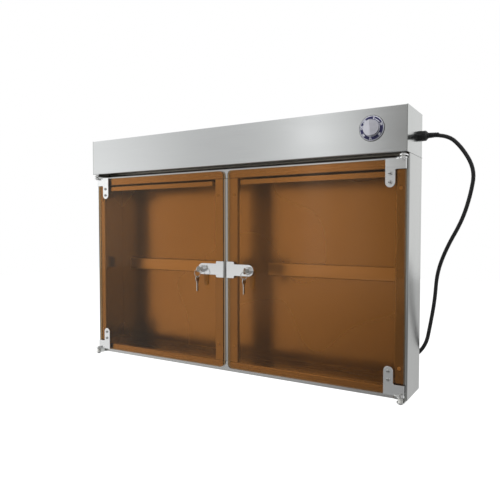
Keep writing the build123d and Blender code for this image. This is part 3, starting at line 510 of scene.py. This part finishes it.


# edge: the colour of the painted shade on the door edges
amber = acrylic("amber_acrylic", tint=(0.76, 0.475, 0.220), edge=(0.022, 0.010, 0.005))
print("doors:", amber.name)

# %% [markdown]
# ## Plastics, rubber, plated pieces and lamps
#
# Moulded plastic is never quite smooth. A flat colour would look like paint on a screen, and a sculpted
# surface would be far too much for so small a grain: a fine noise in the bump and a slow drift of the
# gloss are enough. The lock and the keys are plated, so they are bright metal with small wear marks. The
# lamps are glass with a slight haze.

# %% Moulded, plated and glass
def moulded(name, colour, roughness, grain_size=2500, depth=0.12, drift=0.08):
    material, shader = principled(name, colour, roughness)
    tree = material.node_tree
    grain = noise(tree, (1, 1, 1), grain_size, 2)
    slow = noise(tree, (1, 1, 1), 60, 4)
    tree.links.new(map_value(tree, slow, roughness - drift, roughness + drift), shader.inputs["Roughness"])
    tint = blend_colours(tree, map_value(tree, slow, 0, 1), scaled(colour, 0.88), scaled(colour, 1.1))
    tree.links.new(tint, shader.inputs["Base Color"])
    bump = linked(tree, "ShaderNodeBump", {"Height": grain, "Strength": depth, "Distance": 0.00012})
    tree.links.new(bump.outputs["Normal"], shader.inputs["Normal"])
    return material


def plated(name, colour, roughness):
    material, shader = principled(name, colour, roughness, 1.0)
    tree = material.node_tree
    marks = noise(tree, (1, 1, 1), 420, 6)
    tree.links.new(map_value(tree, marks, roughness * 0.7, roughness * 1.7), shader.inputs["Roughness"])
    tint = blend_colours(tree, map_value(tree, marks, 0, 1), scaled(colour, 0.86), colour)
    tree.links.new(tint, shader.inputs["Base Color"])
    return material


def lamp_glass(name, colour):
    material, shader = principled(name, colour, 0.12, Transmission_Weight=0.35, IOR=1.5)
    tree = material.node_tree
    haze = noise(tree, (4, 40, 40), detail=3)
    tree.links.new(map_value(tree, haze, 0.08, 0.25), shader.inputs["Roughness"])
    return material


black_rubber = moulded("black_rubber", (0.012, 0.012, 0.013), 0.42, 1600, 0.15)
black_plastic = moulded("black_plastic", (0.016, 0.016, 0.017), 0.45)
white_plastic = moulded("white_plastic", (0.78, 0.78, 0.76), 0.40)
ivory_plastic = moulded("ivory_plastic", (0.74, 0.71, 0.62), 0.45)
pale_dial = moulded("pale_dial", (0.62, 0.63, 0.70), 0.32)
grey_knob = moulded("grey_knob", (0.50, 0.50, 0.55), 0.35)
soft_pad = moulded("soft_pad", (0.50, 0.49, 0.46), 0.45)
nylon = moulded("nylon", (0.72, 0.72, 0.68), 0.35)
magnet_dark = moulded("magnet_dark", (0.05, 0.05, 0.055), 0.6)
lacquered = moulded("lacquered_iron", (0.10, 0.105, 0.12), 0.4, 900, 0.3)
chrome = plated("lock_plating", (0.90, 0.90, 0.90), 0.07)
nickel = plated("key_plating", (0.72, 0.70, 0.65), 0.24)
zinc = plated("zinc_plating", (0.58, 0.585, 0.57), 0.34)
screw_steel = plated("screw_steel", (0.70, 0.70, 0.69), 0.22)
uv_glass = lamp_glass("lamp_glass", (0.80, 0.86, 0.90))
print("materials so far:", len(bpy.data.materials))

# %% [markdown]
# ## Dressing the parts
#
# Each solid part keeps its shape and only gets a material. A table of part names by finish is easy to
# read and shows at once if a part was forgotten.

# %% Assign
finishes = {
    head_steel: ["head_shell"],
    end_steel: ["head_end_right", "head_end_left"],
    front_steel: ["ceiling_panel", "bottom_pan"],
    slot_steel: ["slot_spacer"],
    side_steel: ["side_wall_right", "side_wall_left"],
    mullion_steel: ["centre_mullion"],
    liner_steel: ["rear_liner"],
    shade_steel: ["lamp_shade_right", "lamp_shade_left"],
    back_steel: ["back_panel", "wall_rail_upper", "hook_rail", "wall_rail_lower", "bar_standoffs"],
    plate_steel: ["door_brackets_right", "door_brackets_left", "lock_plate_right", "lock_plate_left",
                  "hinge_plates_top", "hinge_plates_bottom"],
    bar_steel: ["knife_bar_right", "knife_bar_left"],
    amber: ["door_panel_right", "door_panel_left"],
    screw_steel: ["bracket_screws_right", "bracket_screws_left", "pivot_screws", "rail_screws"],
    nylon: ["pivot_bushes"],
    soft_pad: ["door_bumpers"],
    chrome: ["lock_housing_right", "lock_housing_left", "lock_plug_right", "lock_plug_left"],
    zinc: ["lock_cam_right", "lock_cam_left"],
    nickel: ["key_right", "key_left", "key_ring_right", "key_ring_left"],
    uv_glass: ["uv_lamp_right", "uv_lamp_left"],
    white_plastic: ["lamp_holders", "starters"],
    ivory_plastic: ["terminal_block"],
    magnet_dark: ["bar_magnets"],
    lacquered: ["ballasts"],
    black_plastic: ["timer_body", "cable_gland", "cord_tie", "plug"],
    pale_dial: ["timer_dial"],
    grey_knob: ["timer_knob"],
    black_rubber: ["power_cord", "cord_coil", "cord_tail"],
}
for material, names in finishes.items():
    for name in names:
        mesh = nodes[name].data
        mesh.materials.clear()
        mesh.materials.append(material)
mains_cord.data.materials.append(black_rubber)
left_over = set(nodes) - {n for names in finishes.values() for n in names}
print("parts without a finish:", sorted(left_over))

# %% [markdown]
# ## Timer dial
#
# The dial is a pale disc with a navy ring that carries the minutes. The ring is a thin washer just in
# front of the disc. Washers could be cut from cylinders; here one outline of four corners is carried
# round the dial, so the same few lines also make an arc.

# %% Rings on the dial
dial_low, dial_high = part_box("timer_dial")
dial_centre = Vector(((dial_low.x + dial_high.x) / 2, dial_low.y, (dial_low.z + dial_high.z) / 2))


def piece_from(b, name, material, body):
    """The finished bmesh as a visible piece that rides on a body."""
    mesh = bpy.data.meshes.new(name)
    b.to_mesh(mesh)
    b.free()
    mesh.materials.append(material)
    piece = bpy.data.objects.new(name, mesh)
    bpy.context.scene.collection.objects.link(piece)
    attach(piece, body)
    return piece


def on_dial(radius, clockwise, lift):
    """A place in front of the dial, its angle counted from the top as on a clock."""
    angle = math.radians(clockwise)
    return dial_centre + Vector((radius * math.sin(angle), -lift, radius * math.cos(angle)))


def washer(name, inner, outer, lift, thickness, material, start=0.0, end=360.0, steps=96):
    """A flat ring or arc lying on the dial."""
    b = bmesh.new()
    closed = end - start >= 360
    corners = ((inner, lift), (outer, lift), (outer, lift + thickness), (inner, lift + thickness))
    rows = []
    for i in range(steps if closed else steps + 1):
        angle = start + (end - start) * i / steps
        rows.append([b.verts.new(on_dial(radius, angle, y)) for radius, y in corners])
    for row, following in zip(rows, rows[1:] + ([rows[0]] if closed else [])):
        for k in range(4):
            b.faces.new((row[k], row[(k + 1) % 4], following[(k + 1) % 4], following[k]))
    if not closed:
        b.faces.new(rows[0])
        b.faces.new(rows[-1])
    bmesh.ops.recalc_face_normals(b, faces=b.faces)
    return piece_from(b, name, material, "cabinet")


navy = moulded("navy_print", (0.022, 0.020, 0.085), 0.35)
print_white = moulded("white_print", (0.72, 0.73, 0.80), 0.45)
# Painted shadow: a dark washer behind the dial's rim stands for the dial's own side in shade; there is no
# gasket
dial_rim_shadow_paint = moulded("dial_rim_painted_shadow", (0.03, 0.03, 0.032), 0.5, 1500, 0.1)
washer("dial_rim_painted_shadow", 0.0150, 0.0270, lift=-0.0024, thickness=0.0011, material=dial_rim_shadow_paint)
washer("dial_ring", 0.0178, 0.0243, lift=0.00002, thickness=0.00025, material=navy)
print("dial centre", tuple(round(v, 4) for v in dial_centre))

# %% [markdown]
# ## Figures on the dial
#
# Figures could be cut into the ring, but print has no thickness to speak of. So they are thin letters
# laid on it, each turned to face outwards, and then changed from text to mesh so that they travel with
# the model. A short printed arc between two of them is one more washer that stops part of the way round.

# %% Minute figures
def figure(name, text, clockwise, radius, height):
    data = bpy.data.curves.new(name, "FONT")
    data.body = text
    data.size = height
    data.extrude = 0.00006
    data.offset = 0.00025
    data.align_x, data.align_y = "CENTER", "CENTER"
    letters = bpy.data.objects.new(name, data)
    bpy.context.scene.collection.objects.link(letters)
    upright = Matrix.Rotation(math.radians(90), 4, "X")
    turned = Matrix.Rotation(math.radians(clockwise), 4, "Y")
    letters.matrix_world = Matrix.Translation(on_dial(radius, clockwise, 0.0004)) @ turned @ upright
    bpy.context.view_layer.update()
    mesh = bpy.data.meshes.new_from_object(letters.evaluated_get(bpy.context.evaluated_depsgraph_get()))
    piece = bpy.data.objects.new(name + "_print", mesh)
    piece.matrix_world = letters.matrix_world.copy()
    bpy.data.objects.remove(letters)
    bpy.context.scene.collection.objects.link(piece)
    mesh.materials.clear()
    mesh.materials.append(print_white)
    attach(piece, "cabinet")
    return piece


figure_places = {0: 13, 20: 70, 40: 128, 60: 184, 80: 232, 100: 275, 120: 313}
for minutes, clockwise in figure_places.items():
    figure(f"figure_{minutes}", str(minutes), clockwise, radius=0.0210, height=0.0062)
washer("running_arc", 0.0192, 0.0206, lift=0.0003, thickness=0.0001, material=print_white,
       start=22, end=58, steps=24)
print("figures:", list(figure_places))

# %% [markdown]
# ## Drive recesses in the screw heads
#
# A crosshead screw is known by its recess, yet the solid heads are plain domes. Cutting into a fixed part
# is not possible here, so a dark cross lies on each head, a hair in front of it, as painted shade for the
# shadow in the recess. A boolean cut would be truer for a large bolt; at this size the eye only needs the
# dark shape.

# %% Find the heads
def front_spots(part, reach=0.0003, apart=0.006):
    """The middle of each separate frontmost patch of a part."""
    points = [v.co.copy() for v in nodes[part].data.vertices]
    front = min(p.y for p in points)
    groups = []
    for point in (p for p in points if p.y < front + reach):
        near = next((g for g in groups if (g[0] - point).length < apart), None)
        if near:
            near.append(point)
        else:
            groups.append([point])
    return [sum(g, Vector()) / len(g) for g in groups]


screw_heads = {side: front_spots(f"bracket_screws_{side}") for side in ("right", "left")}
print("heads:", {side: len(spots) for side, spots in screw_heads.items()})

# %% [markdown]
# One cross is drawn as a flat outline, a few degrees askew as a driver leaves it, and laid on every head
# of a door in one mesh. Separate objects would work as well, but they would only make the list longer.

# %% Cross recesses
def push(b, face, way):
    """Pushes a flat face into a solid along a direction."""
    pushed = bmesh.ops.extrude_face_region(b, geom=[face])["geom"]
    moved = [v for v in pushed if isinstance(v, bmesh.types.BMVert)]
    bmesh.ops.translate(b, vec=way, verts=moved)
    bmesh.ops.recalc_face_normals(b, faces=b.faces)


def cross_outline(reach, half_width, twist):
    """A cross with blunt arms."""
    arm = [(half_width, half_width), (half_width, reach), (-half_width, reach)]
    points = []
    for quarter in range(4):
        angle = math.radians(twist + 90 * quarter)
        c, s = math.cos(angle), math.sin(angle)
        points += [(x * c - z * s, x * s + z * c) for x, z in arm]
    return points


def crosses(name, spots, front, thickness, material, body):
    b = bmesh.new()
    outline = cross_outline(reach=0.0015, half_width=0.0004, twist=17)
    for spot in spots:
        face = b.faces.new([b.verts.new((spot.x + x, front, spot.z + z)) for x, z in outline])
        push(b, face, (0, -thickness, 0))
    return piece_from(b, name, material, body)


# Painted shade: one dark material for the shadow in the screw recesses and in the head's joints
painted_shade_dark = moulded("recess_shadow", (0.03, 0.03, 0.03), 0.5, 1800, 0.1, 0.05)
cross_sunk = 0.00002
cross_thickness = 0.00008
for side, spots in screw_heads.items():
    front = min(v.co.y for v in nodes[f"bracket_screws_{side}"].data.vertices)
    crosses(f"screw_recess_{side}", spots, front + cross_sunk, cross_thickness, painted_shade_dark, f"door_{side}")
print("recesses on both doors")

# %% [markdown]
# ## Cord protector
#
# Where a mains cord leaves its gland, a soft tapered sleeve keeps it from kinking. Its outline, turned
# about the cord's line, is a lathe job: rings of points whose radius shrinks along the cord, with shallow
# ribs so that it bends easily.

# %% Outline of the sleeve
sleeve_collar = 0.003
sleeve_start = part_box("cable_gland")[1].x - sleeve_collar
sleeve_length = 0.026
sleeve_radius = 0.0062
sleeve_taper = 0.0014
groove_depth = 0.0005
ribs = 5
pitch = (sleeve_length - sleeve_collar) / ribs

sleeve = [(sleeve_start, sleeve_radius)]
for i in range(ribs):
    radius = sleeve_radius - sleeve_taper * (i + 0.5) / ribs
    x = sleeve_start + sleeve_collar + pitch * i
    sleeve += [(x, radius), (x + pitch * 0.7, radius)]
    sleeve += [(x + pitch * 0.75, radius - groove_depth), (x + pitch, radius - groove_depth)]
print("sleeve from", round(sleeve_start, 4), "to", round(sleeve[-1][0], 4))

# %% [markdown]
# Turning the outline means one ring of points for each of its corners and a band of faces between
# neighbouring rings. A screw modifier turns an outline too; made directly, the bands can be shaded smooth
# while the two end discs stay flat.

# %% Turned sleeve
def turned_along_x(name, outline, middle, material, body, steps=40):
    """A closed shape turned about a line along X, from (x, radius) points."""
    b = bmesh.new()
    turns = [2 * math.pi * k / steps for k in range(steps)]
    rings = [
        [b.verts.new((x, middle[0] + radius * math.cos(t), middle[1] + radius * math.sin(t))) for t in turns]
        for x, radius in outline
    ]
    for one, two in zip(rings, rings[1:]):
        for k in range(steps):
            b.faces.new((one[k], one[(k + 1) % steps], two[(k + 1) % steps], two[k]))
    b.faces.new(rings[0])
    b.faces.new(rings[-1])
    bmesh.ops.recalc_face_normals(b, faces=b.faces)
    for face in b.faces:
        face.smooth = len(face.verts) == 4
    return piece_from(b, name, material, body)


cord_line = (-0.063, 0.2555)
turned_along_x("cord_sleeve", sleeve, cord_line, black_rubber, "cabinet")
print("sleeve with", ribs, "ribs")

# %% [markdown]
# ## Joint between the head and the sides
#
# The head sits on the cabinet with a hairline joint at each end. Light hardly gets into it, so it reads
# as one thin dark line. A real gap of two tenths of a millimetre would vanish between two pixels, so a
# dark bead of painted shade fills it and stands a little proud.

# %% Painted shade in the joints
# A bead here is painted shade: a thin dark strip that stands for the shadow inside the joint
def bead(name, x_out, x_in, y_front, y_back, level, half_height):
    b = bmesh.new()
    rounded = half_height * 0.6
    outline = [(x_in, level - half_height), (x_out, level - rounded), (x_out, level + rounded),
               (x_in, level + half_height)]
    ends = [[b.verts.new((x, y, z)) for x, z in outline] for y in (y_front, y_back)]
    for k in range(4):
        b.faces.new((ends[0][k], ends[0][(k + 1) % 4], ends[1][(k + 1) % 4], ends[1][k]))
    b.faces.new(ends[0])
    b.faces.new(ends[1])
    bmesh.ops.recalc_face_normals(b, faces=b.faces)
    return piece_from(b, name, painted_shade_dark, "cabinet")


wall_low, wall_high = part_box("side_wall_right")
bead_proud = 0.00008
bead_depth = 0.0002
bead_half_height = 0.0006
joint_middle = wall_high.z + 0.0001
for side, way in (("right", 1), ("left", -1)):
    bead(f"joint_shade_line_{side}", way * (wall_high.x + bead_proud), way * (wall_high.x - bead_depth),
         wall_low.y + 0.0005, wall_high.y, joint_middle, bead_half_height)
print("beads at", round(wall_high.z, 4))

# %% [markdown]
# ## Folded ends of the lock plates
#
# Each lock plate is folded back round the edge of its door, which is how it grips the acrylic. The fold
# is a short leg behind the plate's inner end. A solidified strip would do; here a closed outline is
# pushed upwards and its edges are rounded by a bevel, so that they catch the light.

# %% Plate folds
fold_rounding = 0.0003
fold_clearance = 0.0002
fold_root = 0.0001


def folded_leg(name, x_near, x_far, y_front, y_back, z_low, z_high, body):
    b = bmesh.new()
    corners = [(x_near, y_front), (x_far, y_front), (x_far, y_back), (x_near, y_back)]
    face = b.faces.new([b.verts.new((x, y, z_low)) for x, y in corners])
    push(b, face, (0, 0, z_high - z_low))
    bmesh.ops.bevel(b, geom=b.edges[:], offset=fold_rounding, segments=2, affect="EDGES")
    return piece_from(b, name, plate_steel, body)


for side, way in (("right", 1), ("left", -1)):
    plate_low, plate_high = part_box(f"lock_plate_{side}")
    door_low, door_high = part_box(f"door_panel_{side}")
    inner = min(abs(plate_low.x), abs(plate_high.x))
    door_edge = min(abs(door_low.x), abs(door_high.x))
    folded_leg(f"lock_plate_fold_{side}", way * inner, way * (door_edge - fold_clearance),
               plate_high.y - fold_root, door_high.y, plate_low.z, plate_high.z, f"door_{side}")
print("folds on both lock plates")
